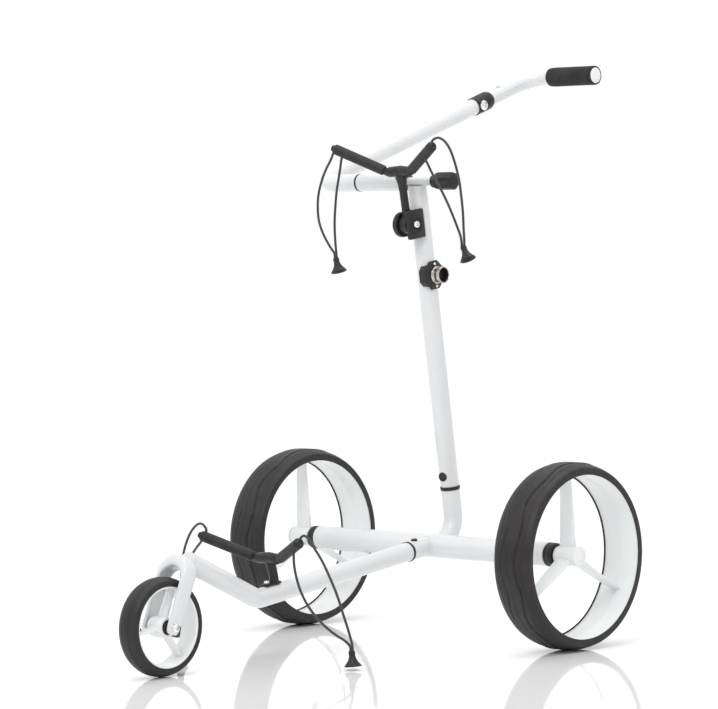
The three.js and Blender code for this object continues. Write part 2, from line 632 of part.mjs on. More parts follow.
const HANDLE_BUTTON = 478;            // button's place along the handle
const HANDLE_BUTTON_R = 3;
const upperRoute = rounded(
  [V(0, UPPER_START, 0), V(0, GRIP_LINE, 0), V(GRIP_STOP - HANDLE_X, GRIP_LINE, 0)],
  HANDLE_BEND_R - 1, 5,
);
const upperTube = cut(
  solid(tube(upperRoute, UPPER_R, UPPER_BORE)),
  turnedZ(rod(HANDLE_BUTTON_R + BUTTON_CLEAR, 0, 30), 16).translate(0, HANDLE_BUTTON, 0),
);
piece(long, 'handle_upper_tube', shapeOf(upperTube), WHITE);
piece(long, 'handle_button',
  turnedZ(buttonProfile(HANDLE_BUTTON_R, 9, UPPER_R + 2), 16).translate(0, HANDLE_BUTTON, 0), STEEL);

const gripLine = group(V(0, GRIP_LINE, 0), 0, handle);
const gripProfile = [[UPPER_R + GAP, GRIP_START], [14, GRIP_START], [16.4, GRIP_START + 9], [16.2, GRIP_STOP],
  [UPPER_R + GAP, GRIP_STOP], [UPPER_R + GAP, GRIP_START]];
piece(gripLine, 'handle_grip', turnedX(gripProfile, 20), FOAM);
const capProfile = [[0, GRIP_STOP - 12], [UPPER_BORE - GAP, GRIP_STOP - 12],
  [UPPER_BORE - GAP, GRIP_STOP + GAP], [14.4, GRIP_STOP + GAP], [13.8, GRIP_STOP + 2], [0, GRIP_STOP + 3]];
piece(gripLine, 'grip_end_cap', turnedX(capProfile, 18), RIM_WHITE);

// ---------------------------------------------------------------- elastic cords and their toggles
const toggleProfile = [[0, 0], [5.4, 0], [8.6, -13], [13, -23], [10.8, -23], [4, -8], [0, -7]];

/** Each strand runs from a bracket arm to the top of its cone toggle. */
const LOOPS = {
  upper_left: {
    toggle: [133, -65, 624],
    outer: [[104, -101, 788.5], [109, -100, 792], [116, -98.5, 793], [126, -96, 787], [134, -93, 774],
      [140, -89, 753], [143.5, -84, 727], [144, -80, 702], [142.5, -75, 676], [139, -70, 652],
      [135.6, -65, 634], [135.4, -65, 624.5]],
    inner: [[83.4, -94, 760.6], [87, -92.5, 752], [93, -91, 740], [101, -88, 725], [110, -83, 705],
      [118, -78, 684], [125, -72, 660], [130, -66.5, 638], [130.6, -65, 624.5]],
  },
  upper_right: {
    toggle: [-140, -65, 606],
    outer: [[-107, -101, 775], [-116, -98, 764], [-130, -94, 750], [-144, -90, 732], [-157, -85, 709],
      [-164, -80, 686], [-165, -76, 664], [-160, -71, 643], [-150, -67, 624], [-142.8, -65, 613],
      [-142.4, -65, 606.5]],
    inner: [[-93.4, -97, 765.2], [-98, -95, 753], [-106, -91, 735], [-115, -87, 713], [-124, -81, 689],
      [-131, -76, 662], [-136, -70, 636], [-138, -66, 616], [-137.6, -65, 606.5]],
  },
  lower_left: {
    toggle: [176, -377, 28],
    outer: [[107, -410, 197], [112, -409, 199.5], [119, -407.5, 196], [128, -406, 184], [141, -402, 164],
      [152, -397, 139], [161, -391, 112], [168, -386, 84], [174, -381, 58], [178, -378, 38],
      [178.4, -377, 28.5]],
    inner: [[84, -403, 171], [83, -401.5, 155], [84, -399, 138], [90, -396, 115], [100, -392, 94],
      [114, -388, 76], [131, -384, 61], [149, -381, 50], [162, -379, 44],
      [170, -377.8, 38.5], [173.4, -377, 34], [173.6, -377, 28.9]],
  },
  lower_right: {
    toggle: [-191, -377, 46],
    outer: [[-96, -409, 197], [-99, -409, 202], [-106, -408.5, 206], [-115, -407.5, 205.5],
      [-131, -405, 195.5], [-147, -401, 178], [-160, -397, 156], [-171, -391, 128], [-181, -385, 100],
      [-190, -380, 70], [-193.4, -377, 46.5]],
    inner: [[-107, -408.5, 180.5], [-120, -406, 170], [-137, -402, 155], [-152, -397, 135],
      [-165, -391, 110], [-176, -384, 83], [-186, -379, 59], [-188.6, -377, 46.5]],
  },
};

for (const [name, loop] of Object.entries(LOOPS)) {
  for (const strand of ['outer', 'inner']) {
    const curve = new THREE.CatmullRomCurve3(loop[strand].map((p) => V(...p)), false, 'centripetal');
    const steps = Math.round(curve.getLength() / (6 * CORD_R));
    const body = tube(curve.getSpacedPoints(steps), CORD_R, 0, 8);
    piece(cart, `${name}_cord_${strand}`, body, CORD);
  }
  piece(group(V(...loop.toggle)), `${name}_toggle`, turnedZ(toggleProfile, 12), BLACK);
}

// The whole cart stands on z = 0 with the middle of its footprint at the origin.
cart.position.y = REAR_AXLE_Y;

export default cart;
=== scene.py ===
import math

import bmesh
import bpy
from mathutils import Matrix, Vector


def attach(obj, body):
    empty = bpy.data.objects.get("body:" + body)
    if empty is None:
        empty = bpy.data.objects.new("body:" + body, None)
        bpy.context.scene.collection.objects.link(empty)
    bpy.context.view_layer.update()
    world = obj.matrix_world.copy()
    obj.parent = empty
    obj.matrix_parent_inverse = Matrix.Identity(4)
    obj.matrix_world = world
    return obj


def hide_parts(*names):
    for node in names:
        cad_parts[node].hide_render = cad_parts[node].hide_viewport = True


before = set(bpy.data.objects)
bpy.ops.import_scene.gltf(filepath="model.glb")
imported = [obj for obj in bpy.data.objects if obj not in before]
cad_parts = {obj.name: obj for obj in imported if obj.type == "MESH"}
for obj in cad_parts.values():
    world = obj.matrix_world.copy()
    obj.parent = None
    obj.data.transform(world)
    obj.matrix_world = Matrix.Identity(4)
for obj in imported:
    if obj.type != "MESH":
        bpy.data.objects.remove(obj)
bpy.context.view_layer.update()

# ---------------------------------------------------------------- driving dimensions, in millimetres
MM = 0.001
GAP = 0.3
SIDES = (("left", 1), ("right", -1))

# Points of the frame, from the floor under the rear axle's middle.
MAST_SEAM = (0.0, 46.3, 231.5)
BASE_CORNER = (0.0, 57.2, 154.3)
ARM_SEAM = (0.0, -54.0, 140.2)
ARM_CORNER = (0.0, -399.0, 96.5)
ARM_END = (0.0, -545.0, 166.9)
FRONT_R = 74.0
FRONT_HUB = (0.0, -600.0, FRONT_R)
REAR_AXLE_Y = 71.0
REAR_X = 285.0
REAR_R = 145.0
HANDLE_X = -215.5
MAST_LEAN = math.radians(8.0)
HANDLE_RISE = math.radians(18.4)
FORK_LEAN = math.radians(-24.0)

# Tubes: outside and bore radii, lengths, and the radii that their bends turn on.
TUBE_R = 15.0
RING_BORE = TUBE_R + GAP
AXLE_TUBE_R = 19.0
AXLE_TUBE_BORE = 16.5
AXLE_TUBE_HALF = 246.0
SPIGOT_R = 12.6
SPIGOT_BORE = 10.7
SPIGOT_LENGTH = 70.0
MAST_BORE = SPIGOT_R + GAP
MAST_TOP = 494.0
PLUG_R = 10.4
PLUG_BORE = 8.4
PLUG_LENGTH = 54.0
HANDLE_R = 14.0
HANDLE_BORE = 12.8
UPPER_R = 12.5
UPPER_BORE = 10.8
UPPER_FIT = UPPER_R + GAP
BASE_BEND_R = 38.0
ARM_BEND_R = 36.0
HANDLE_BEND_R = 43.0
GRIP_BEND_R = 42.0

# Places along the mast, from its seam; PIVOT is in the mast's own frame.
CROSS_HEIGHT = 500.0
PIVOT = (0.0, -31.0, 436.0)
SOCKET_HEIGHT = 350.0
MAST_BUTTON_UP = 24.0
MAST_BUTTON_HOLE = 7.4

# Places along the arm, from its seam.
ARM_BUTTON_BACK = 14.0
ARM_BUTTON_HOLE = 5.4
LOWER_BRACKET_ON = 306.5
LOWER_SCREW_ON = 322.5

# Places along the handle's long tube, from the cross sleeve's axis.
BOLT_PLACE = 413.0
LOWER_STOP = 425.0
HANDLE_BUTTON_ON = 478.0
GRIP_LINE = 568.0
UPPER_FOOT = 275.0

# Bolts and axles, and the bores that they pass through.
AXLE_R = 6.0
AXLE_BORE = AXLE_R + GAP
BOLT_R = 4.0
BOLT_BORE = BOLT_R + GAP
SLEEVE_OUT = 35.7
SLEEVE_IN = 17.0

# Brackets, fork and cords.
ELBOW_OUT = 23.7
TIP_OUT = 103.0
ELBOW_BEND_R = 16.0
FORK_OUTER = 30.5
FORK_INNER = 22.5
CROWN_OUTER_Z = 81.0
CROWN_INNER_Z = 69.0
CROWN_HALF = 13.2
CORD_DIAMETER = 4.0

# The rear tyre's pattern.
TREAD_FROM = 139.0
TREAD_WAVES = 9
TREAD_SWAY = 3.6
BAND_HALF = 13.0
BAND_STEP = 1.5
FINE_LINE = 23.0


def at(x, y, z):
    """A point in the part's frame, in metres, from millimetres off the floor under the rear axle."""
    return Vector((x, y + REAR_AXLE_Y, z)) * MM


def turned(point, angle):
    """A frame at a point, leaned about X."""
    return Matrix.Translation(point) @ Matrix.Rotation(angle, 4, "X")


MAST = turned(at(*MAST_SEAM), MAST_LEAN)
CROSS = MAST @ (Vector((0, 0, CROSS_HEIGHT)) * MM)
HANDLE = turned(CROSS, HANDLE_RISE)
LONG = HANDLE @ Matrix.Translation(Vector((HANDLE_X, 0, 0)) * MM)
FORK = turned(at(*FRONT_HUB), FORK_LEAN)
TO_X = Matrix.Rotation(math.pi / 2, 4, "Y")
TO_Y = Matrix.Rotation(-math.pi / 2, 4, "X")

# ---------------------------------------------------------------- camera, floor and light
CAMERA_AT = at(3759.1, -4173.0, 695.7)
CAMERA_AZIMUTH = math.radians(43.153)
CAMERA_PITCH = math.radians(2.478)
CAMERA_ROLL = math.radians(-0.892)
CAMERA_LENS = 176.67


def camera():
    data = bpy.data.cameras.new("camera")
    data.lens = CAMERA_LENS
    data.sensor_width = 36
    data.sensor_fit = "HORIZONTAL"
    data.clip_end = 100
    obj = bpy.data.objects.new("camera", data)
    aim = Matrix.Rotation(CAMERA_AZIMUTH, 4, "Z") @ Matrix.Rotation(math.pi / 2 - CAMERA_PITCH, 4, "X")
    obj.matrix_world = Matrix.Translation(CAMERA_AT) @ aim @ Matrix.Rotation(CAMERA_ROLL, 4, "Z")
    bpy.context.scene.collection.objects.link(obj)
    bpy.context.scene.camera = obj


def area_light(name, position, size, power):
    """A square light, in metres and watts, turned toward the cart's middle."""
    data = bpy.data.lights.new(name, "AREA")
    data.size = size
    data.energy = power
    obj = bpy.data.objects.new(name, data)
    obj.location = position
    obj.rotation_euler = (Vector((0, 0, 0.4)) - Vector(position)).to_track_quat("-Z", "Y").to_euler()
    bpy.context.scene.collection.objects.link(obj)


def studio():
    bpy.context.scene.view_settings.view_transform = "Standard"
    world = bpy.data.worlds.new("studio")
    world.use_nodes = True
    world.node_tree.nodes["Background"].inputs["Color"].default_value = (1, 1, 1, 1)
    world.node_tree.nodes["Background"].inputs["Strength"].default_value = 1.0
    bpy.context.scene.world = world
    area_light("key", (1.2, -2.6, 2.8), size=1.2, power=34)
    area_light("fill", (-2.6, -1.2, 1.6), size=2.2, power=6)
    area_light("top", (0, 0.2, 3.4), size=2.6, power=34)


# ---------------------------------------------------------------- materials
def shader(name, color, roughness, metallic=0.0, **sockets):
    material = bpy.data.materials.new(name)
    material.use_nodes = True
    surface = material.node_tree.nodes["Principled BSDF"]
    surface.inputs["Base Color"].default_value = (*color, 1)
    surface.inputs["Roughness"].default_value = roughness
    surface.inputs["Metallic"].default_value = metallic
    for socket, value in sockets.items():
        surface.inputs[socket.replace("_", " ")].default_value = value
    return material


def texture(material, kind, scale, **settings):
    nodes = material.node_tree.nodes
    node = nodes.new(kind)
    node.inputs["Scale"].default_value = scale
    for name, value in settings.items():
        node.inputs[name].default_value = value
    place = nodes.get("place") or nodes.new("ShaderNodeTexCoord")
    place.name = "place"
    material.node_tree.links.new(place.outputs["Object"], node.inputs["Vector"])
    return node


def vary(material, socket, node, low, high, output=0):
    """Runs one shader input from low to high over a texture; colours are triples."""
    nodes = material.node_tree.nodes
    ramp = nodes.new("ShaderNodeValToRGB")
    ramp.color_ramp.elements[0].position = 0.3
    ramp.color_ramp.elements[1].position = 0.7
    triple = lambda v: (*v, 1) if isinstance(v, tuple) else (v, v, v, 1)
    ramp.color_ramp.elements[0].color = triple(low)
    ramp.color_ramp.elements[1].color = triple(high)
    links = material.node_tree.links
    links.new(node.outputs[output], ramp.inputs["Fac"])
    links.new(ramp.outputs["Color"], nodes["Principled BSDF"].inputs[socket])


def bump(material, node, strength, distance, output=0):
    nodes = material.node_tree.nodes
    relief = nodes.new("ShaderNodeBump")
    relief.inputs["Strength"].default_value = strength
    relief.inputs["Distance"].default_value = distance
    material.node_tree.links.new(node.outputs[output], relief.inputs["Height"])
    material.node_tree.links.new(relief.outputs["Normal"], nodes["Principled BSDF"].inputs["Normal"])


def white_paint():
    m = shader("white_paint", (0.65, 0.662, 0.672), 0.24, Coat_Weight=0.4, Coat_Roughness=0.08)
    vary(m, "Base Color", texture(m, "ShaderNodeTexNoise", 14), (0.64, 0.652, 0.662), (0.665, 0.675, 0.684))
    peel = texture(m, "ShaderNodeTexNoise", 260, Detail=2)
    vary(m, "Roughness", peel, 0.2, 0.28)
    bump(m, peel, 0.02, 0.00004)
    return m


def rim_plastic():
    m = shader("rim_plastic", (0.78, 0.8, 0.8), 0.34)
    vary(m, "Base Color", texture(m, "ShaderNodeTexNoise", 20), (0.76, 0.78, 0.78), (0.8, 0.81, 0.81))
    grain = texture(m, "ShaderNodeTexNoise", 1500, Detail=3)
    vary(m, "Roughness", grain, 0.3, 0.4)
    bump(m, grain, 0.15, 0.00008)
    return m


def dark(name, low, high, rough, scale, depth, kind="ShaderNodeTexNoise"):
    """A black moulded material with a fine grain."""
    m = shader(name, high, rough[0], Specular_IOR_Level=0.35)
    vary(m, "Base Color", texture(m, "ShaderNodeTexNoise", 45, Detail=4), low, high)
    grain = texture(m, kind, scale)
    vary(m, "Roughness", grain, *rough)
    bump(m, grain, 0.5, depth)
    return m


def metal(name, low, high, rough, scale):
    """A bare metal with a fine grain in its colour and polish."""
    m = shader(name, high, rough[0], metallic=1.0)
    grain = texture(m, "ShaderNodeTexNoise", scale, Detail=4)
    vary(m, "Base Color", grain, low, high)
    vary(m, "Roughness", grain, *rough)
    bump(m, grain, 0.08, 0.00005)
    return m


def braid():
    """Woven cover: two crossed wave patterns along and round the cord."""
    m = shader("cord", (0.02, 0.018, 0.019), 0.8, Sheen_Weight=0.25)
    nodes = m.node_tree.nodes
    links = m.node_tree.links
    uv = nodes.new("ShaderNodeUVMap")
    waves = []
    for turn in (45, -45):
        lay = nodes.new("ShaderNodeMapping")
        lay.inputs["Rotation"].default_value = (0, 0, math.radians(turn))
        wave = nodes.new("ShaderNodeTexWave")
        wave.inputs["Scale"].default_value = 2.2
        links.new(uv.outputs["UV"], lay.inputs["Vector"])
        links.new(lay.outputs["Vector"], wave.inputs["Vector"])
        waves.append(wave)
    weave = nodes.new("ShaderNodeMath")
    weave.operation = "MAXIMUM"
    for i, wave in enumerate(waves):
        links.new(wave.outputs["Fac"], weave.inputs[i])
    vary(m, "Base Color", weave, (0.012, 0.011, 0.012), (0.045, 0.042, 0.043))
    bump(m, weave, 0.6, 0.0003)
    return m


LOOKS = {
    "white_paint": white_paint(),
    "rim_plastic": rim_plastic(),
    "black_plastic": dark("black_plastic", low=(0.011, 0.0095, 0.010), high=(0.02, 0.0175, 0.018),
                          rough=(0.36, 0.5), scale=1400, depth=0.0001),
    "black_paint": dark("black_paint", low=(0.011, 0.0095, 0.010), high=(0.018, 0.016, 0.0165),
                        rough=(0.3, 0.42), scale=900, depth=0.00006),
    "tyre": dark("tyre", low=(0.012, 0.0105, 0.0105), high=(0.022, 0.019, 0.019),
                 rough=(0.4, 0.56), scale=800, depth=0.00012),
    "sleeve_rubber": dark("sleeve_rubber", low=(0.014, 0.013, 0.014), high=(0.026, 0.024, 0.025),
                          rough=(0.5, 0.66), scale=700, depth=0.00015),
    "foam": dark("foam", low=(0.012, 0.011, 0.012), high=(0.026, 0.024, 0.025),
                 rough=(0.7, 0.9), scale=620, depth=0.0005, kind="ShaderNodeTexVoronoi"),
    "cord": braid(),
    "bright_steel": metal("bright_steel", low=(0.72, 0.72, 0.71), high=(0.82, 0.82, 0.81),
                          rough=(0.12, 0.22), scale=260),
    "bearing_steel": metal("bearing_steel", low=(0.5, 0.5, 0.5), high=(0.64, 0.64, 0.63),
                           rough=(0.22, 0.36), scale=420),
    "nickel": metal("nickel", low=(0.4, 0.375, 0.335), high=(0.56, 0.53, 0.475),
                    rough=(0.18, 0.3), scale=320),
}

# ---------------------------------------------------------------- mesh helpers
SHARP = math.radians(38)


def lathe(profile, place, segments=64, swell=None):
    """Turns (radius, height) points in millimetres about local Z; a closed loop or axis to axis."""
    bm = bmesh.new()
    loop = profile[0] == profile[-1]
    points = profile[:-1] if loop else profile
    rings = []
    for r, h in points:
        if r < 1e-6:
            rings.append([bm.verts.new((0, 0, h * MM))])
            continue
        ring = []
        for i in range(segments):
            a = 2 * math.pi * i / segments
            radius = (r + (swell(r, h, a) if swell else 0)) * MM
            ring.append(bm.verts.new((radius * math.cos(a), radius * math.sin(a), h * MM)))
        rings.append(ring)
    pairs = list(zip(rings, rings[1:] + rings[:1])) if loop else list(zip(rings, rings[1:]))
    for one, two in pairs:
        for i in range(segments):
            j = (i + 1) % segments
            corners = [one[i % len(one)], one[j % len(one)], two[j % len(two)], two[i % len(two)]]
            bm.faces.new(list(dict.fromkeys(corners)))
    bm.transform(place)
    return bm


def loft(rings):
    """Skins equal closed rings of points and caps both ends."""
    bm = bmesh.new()
    made = [[bm.verts.new(p) for p in ring] for ring in rings]
    count = len(made[0])
    for one, two in zip(made, made[1:]):
        for i in range(count):
            j = (i + 1) % count
            bm.faces.new((one[i], one[j], two[j], two[i]))
    bm.faces.new(made[0][::-1])
    bm.faces.new(made[-1])
    return bm


def directions(points):
    """The way that a route runs at each of its points."""
    ways = [(b - a).normalized() for a, b in zip(points, points[1:])]
    inner = [(a + b).normalized() for a, b in zip(ways, ways[1:])]
    return [ways[0], *inner, ways[-1]]


def hoops(points, radii, sides):
    """Rings of points square to a route; radii in millimetres, one or one per point."""
    if not isinstance(radii, (list, tuple)):
        radii = [radii] * len(points)
    ways = directions(points)
    side = ways[0].orthogonal().normalized()
    rings = []
    for point, way, radius in zip(points, ways, radii):
        side = (side - way * side.dot(way)).normalized()
        other = way.cross(side)
        angles = [2 * math.pi * i / sides for i in range(sides)]
        rings.append([point + (side * math.cos(a) + other * math.sin(a)) * radius * MM for a in angles])
    return rings


def sweep(points, radii, sides=32):
    """A round rod along points."""
    return loft(hoops(points, radii, sides))


def pipe(points, outer, bore, sides=56):
    """An open tube along points: out along the outer skin and back along the bore."""
    bm = bmesh.new()
    rings = [*hoops(points, outer, sides), *hoops(points, bore, sides)[::-1]]
    made = [[bm.verts.new(p) for p in ring] for ring in rings]
    for one, two in zip(made, made[1:] + made[:1]):
        for i in range(sides):
            j = (i + 1) % sides
            bm.faces.new((one[i], one[j], two[j], two[i]))
    return bm


def rounded(corners, radius, steps=12):
    """Corner points with each inner corner turned on a radius in millimetres."""
    out = [corners[0]]
    for before, corner, after in zip(corners, corners[1:], corners[2:]):
        back = (before - corner).normalized()
        on = (after - corner).normalized()
        half = back.angle(on) / 2
        reach = radius * MM / math.tan(half)
        middle = corner + (back + on).normalized() * radius * MM / math.sin(half)
        start = corner + back * reach - middle
        stop = corner + on * reach - middle
        axis = start.cross(stop).normalized()
        for k in range(steps + 1):
            out.append(middle + Matrix.Rotation(start.angle(stop) * k / steps, 3, axis) @ start)
    out.append(corners[-1])
    return out


def block(low, high, place, bevel=1.5):
    """A box between two corners, in millimetres, with rounded edges."""
    bm = bmesh.new()
    bmesh.ops.create_cube(bm, size=1)
    for v in bm.verts:
        v.co = Vector([(a + b) / 2 + (b - a) * c for a, b, c in zip(low, high, v.co)]) * MM
    bmesh.ops.bevel(bm, geom=bm.edges[:], offset=bevel * MM, segments=3, affect="EDGES", profile=0.5)
    bm.transform(place)
    return bm


def sliced(bm, point, way):
    """Keeps the part of a solid ahead of a plane and closes the cut."""
    geom = [*bm.verts, *bm.edges, *bm.faces]
    cut = bmesh.ops.bisect_plane(bm, geom=geom, plane_co=point, plane_no=way, clear_inner=True)
    edges = [e for e in cut["geom_cut"] if isinstance(e, bmesh.types.BMEdge)]
    bmesh.ops.contextual_create(bm, geom=edges)
    return bm


def held(name, bm):
    """A short-lived object for a cut, with its faces turned outward."""
    bmesh.ops.recalc_face_normals(bm, faces=bm.faces[:])
    mesh = bpy.data.meshes.new(name)
    bm.to_mesh(mesh)
    bm.free()
    obj = bpy.data.objects.new(name, mesh)
    bpy.context.scene.collection.objects.link(obj)
    return obj


def drilled(bm, *cutters):
    """Takes the cutters out of a solid."""
    body = held("body", bm)
    tools = [held("tool", cutter) for cutter in cutters]
    for tool in tools:
        step = body.modifiers.new("cut", "BOOLEAN")
        step.operation = "DIFFERENCE"
        step.solver = "EXACT"
        step.object = tool
    mesh = bpy.data.meshes.new_from_object(body.evaluated_get(bpy.context.evaluated_depsgraph_get()))
    out = bmesh.new()
    out.from_mesh(mesh)
    bpy.data.meshes.remove(mesh)
    for obj in (body, *tools):
        data = obj.data
        bpy.data.objects.remove(obj)
        bpy.data.meshes.remove(data)
    return out


def ball(centre, radius):
    """A sphere, its radius in millimetres."""
    bm = bmesh.new()
    bmesh.ops.create_uvsphere(bm, u_segments=24, v_segments=14, radius=radius * MM)
    bm.transform(Matrix.Translation(centre))
    return bm


def make(name, body, slot, *shapes, stands_for=()):
    """Joins shapes into one piece that rides on a body and stands for CAD nodes."""
    whole = bmesh.new()
    for shape in shapes:
        part = bpy.data.meshes.new("part")
        shape.to_mesh(part)
        shape.free()
        whole.from_mesh(part)
        bpy.data.meshes.remove(part)
    bmesh.ops.recalc_face_normals(whole, faces=whole.faces[:])
    for face in whole.faces:
        face.smooth = True
    for edge in whole.edges:
        edge.smooth = len(edge.link_faces) != 2 or edge.calc_face_angle(0) < SHARP
    mesh = bpy.data.meshes.new(name)
    whole.to_mesh(mesh)
    whole.free()
    obj = bpy.data.objects.new(name, mesh)
    obj.data.materials.append(LOOKS[slot])
    bpy.context.scene.collection.objects.link(obj)
    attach(obj, body)
    if stands_for:
        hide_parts(*stands_for)
    return obj


def band(outer, inner, low, high, round_off=0.5):
    """A ring's closed profile with eased outer edges."""
    e = round_off
    return [(inner, low), (outer - e, low), (outer, low + e), (outer, high - e), (outer - e, high),
            (inner, high), (inner, low)]


def disc(radius, low, high, round_off=0.5):
    """A solid disc's profile, axis to axis, with eased outer edges."""
    e = round_off
    return [(0, low), (radius - e, low), (radius, low + e), (radius, high - e), (radius - e, high), (0, high)]


def flipped(profile, out):
    """A profile for one side of the cart: out is 1 for the left and -1 for the right."""
    return [(r, out * h) for r, h in profile]


def bracket_line(level, out):
    """Junction, elbow and tip of one bracket arm."""
    if level == "upper":
        here = MAST @ Matrix.Translation(Vector(PIVOT) * MM)
        stops = [(0, -4.5, 86), (out * ELBOW_OUT, -7.9, 85), (out * TIP_OUT, -38.5, 127.7)]
        return [here @ (Vector(stop) * MM) for stop in stops]
    return [at(0, -370, 157), at(out * ELBOW_OUT, -373.4, 156), at(out * TIP_OUT, -411, 188)]


# ---------------------------------------------------------------- cords
def between(p, q, start, end, s):
    """The value at s on the straight run from p at start to q at end."""
    return p * ((end - s) / (end - start)) + q * ((s - start) / (end - start))


def smooth_route(points, steps=5):
    """Centripetal curve through given points."""
    ends = [points[0] * 2 - points[1], *points, points[-1] * 2 - points[-2]]
    out = []
    for a, b, c, d in zip(ends, ends[1:], ends[2:], ends[3:]):
        t = [0.0]
        for one, two in ((a, b), (b, c), (c, d)):
            t.append(t[-1] + math.sqrt((two - one).length))
        for k in range(steps):
            s = t[1] + (t[2] - t[1]) * k / steps
            ab = between(a, b, t[0], t[1], s)
            bc = between(b, c, t[1], t[2], s)
            cd = between(c, d, t[2], t[3], s)
            abc = between(ab, bc, t[0], t[2], s)
            bcd = between(bc, cd, t[1], t[3], s)
            out.append(between(abc, bcd, t[1], t[2], s))
    return [*out, points[-1]]


LOOPS = {
    "upper_left": {
        "toggle": (133, -65, 624),
        "tilt": -26,
        "outer": [(104, -101, 788.5), (109, -100, 792), (116, -98.5, 793), (126, -96, 787), (134, -93, 774),
                  (140, -89, 753), (143.5, -84, 727), (144, -80, 702), (142.5, -75, 676), (139, -70, 652),
                  (135.6, -65, 634), (135.4, -65, 624.5)],
        "inner": [(83.4, -94, 760.6), (87, -92.5, 752), (93, -91, 740), (101, -88, 725), (110, -83, 705),
                  (118, -78, 684), (125, -72, 660), (130, -66.5, 638), (130.6, -65, 624.5)],
    },
    "upper_right": {
        "toggle": (-140, -65, 606),
        "tilt": -17,
        "outer": [(-107, -101, 775), (-116, -98, 764), (-130, -94, 750), (-144, -90, 732), (-157, -85, 709),
                  (-164, -80, 686), (-165, -76, 664), (-160, -71, 643), (-150, -67, 624), (-142.8, -65, 613),
                  (-142.4, -65, 606.5)],
        "inner": [(-93.4, -97, 765.2), (-98, -95, 753), (-106, -91, 735), (-115, -87, 713), (-124, -81, 689),
                  (-131, -76, 662), (-136, -70, 636), (-138, -66, 616), (-137.6, -65, 606.5)],
    },
    "lower_left": {
        "toggle": (176, -377, 28),
        "tilt": -6,
        "outer": [(107, -410, 197), (112, -409, 199.5), (119, -407.5, 196), (128, -406, 184),
                  (141, -402, 164), (152, -397, 139), (161, -391, 112), (168, -386, 84), (174, -381, 58),
                  (178, -378, 38), (178.4, -377, 28.5)],
        "inner": [(84, -403, 171), (83, -401.5, 155), (84, -399, 138), (90, -396, 115), (100, -392, 94),
                  (114, -388, 76), (131, -384, 61), (149, -381, 50), (162, -379, 44), (170, -377.8, 38.5),
                  (173.4, -377, 34), (173.6, -377, 28.9)],
    },
    "lower_right": {
        "toggle": (-191, -377, 46),
        "tilt": 2,
        "outer": [(-96, -409, 197), (-99, -409, 202), (-106, -408.5, 206), (-115, -407.5, 205.5),
                  (-131, -405, 195.5), (-147, -401, 178), (-160, -397, 156), (-171, -391, 128),
                  (-181, -385, 100), (-190, -380, 70), (-193.4, -377, 46.5)],
        "inner": [(-107, -408.5, 180.5), (-120, -406, 170), (-137, -402, 155), (-152, -397, 135),
                  (-165, -391, 110), (-176, -384, 83), (-186, -379, 59), (-188.6, -377, 46.5)],
    },
}


def cord_uv(obj, sides, lengths):
    """Round the cord in U and along it in V, in millimetres, so the weave keeps its scale."""
    layer = obj.data.uv_layers.new(name="along")
    for polygon in obj.data.polygons:
        for corner in polygon.loop_indices:
            index = obj.data.loops[corner].vertex_index
            ring, step = divmod(index, sides)
            layer.data[corner].uv = (step * math.pi * CORD_DIAMETER / sides, lengths[ring] / MM)


def toggle_profile():
    """Soft cone with a collar at its neck and a hollow mouth."""
    return [(0, 0.4), (4, 0.4), (4.9, -0.4), (5, -3), (4.7, -6), (5.2, -9), (6.4, -12.5), (8.6, -16.5),
            (11.4, -20), (13, -22.2), (12.5, -23), (11.5, -22.6), (8.6, -19.5), (6.2, -16), (4.4, -13),
            (2.6, -11.2), (0, -10.6)]


def cords():
    sides = 12
    for name, loop in LOOPS.items():
        level, side = name.split("_")
        body = "upper_bracket" if level == "upper" else "front_arm"
        _, elbow, tip = bracket_line(level, dict(SIDES)[side])
        flare = lambda r, h, a: 0.35 * math.cos(10 * a) * max(0, min(1, (-h - 8) / 8)) if r > 8 else 0
        tilt = Matrix.Rotation(math.radians(loop["tilt"]), 4, "Y")
        cone = lathe(toggle_profile(), Matrix.Translation(at(*loop["toggle"])) @ tilt, 80, flare)
        toggle = make(f"{name}_toggle_cone", body, "black_plastic", cone, stands_for=[f"{name}_toggle"])
        for strand in ("outer", "inner"):
            points = [at(*p) for p in loop[strand]]
            way = (tip - elbow).normalized()
            inside = elbow + way * min((points[0] - elbow).dot(way), (tip - elbow).length)
            points.insert(0, points[0].lerp(inside, 0.7))
            points[-1] -= Vector((0, 0, 2.5 * MM))
            path = smooth_route(points)
            lengths = [0.0]
            for a, b in zip(path, path[1:]):
                lengths.append(lengths[-1] + (b - a).length)
            tube = sweep(path, CORD_DIAMETER / 2, sides)
            obj = make(f"{name}_elastic_{strand}", body, "cord", tube, stands_for=[f"{name}_cord_{strand}"])
            cord_uv(obj, sides, lengths)


# ---------------------------------------------------------------- wheels
def groove(t, centre, width, depth):
    """How far a round groove lowers the tread at t."""
    gap = abs(t - centre)
    return -depth * max(0.0, 1 - (gap / width) ** 2)


def rear_tread(r, h, a):
    """Raised middle band and shallow wavy grooves round the tyre."""
    if r < TREAD_FROM:
        return 0
    sway = TREAD_SWAY * math.sin(TREAD_WAVES * a)
    lines = groove(h, BAND_HALF + sway, 1.8, 1.5) + groove(h, -BAND_HALF + sway, 1.8, 1.5)
    fine = groove(h, FINE_LINE + sway / 2, 1.1, 0.8) + groove(h, -FINE_LINE + sway / 2, 1.1, 0.8)
    middle = groove(h, sway / 2, 1.1, 0.6)
    step = -BAND_STEP if abs(h - sway) > BAND_HALF else 0
    return lines + (fine + middle) + step


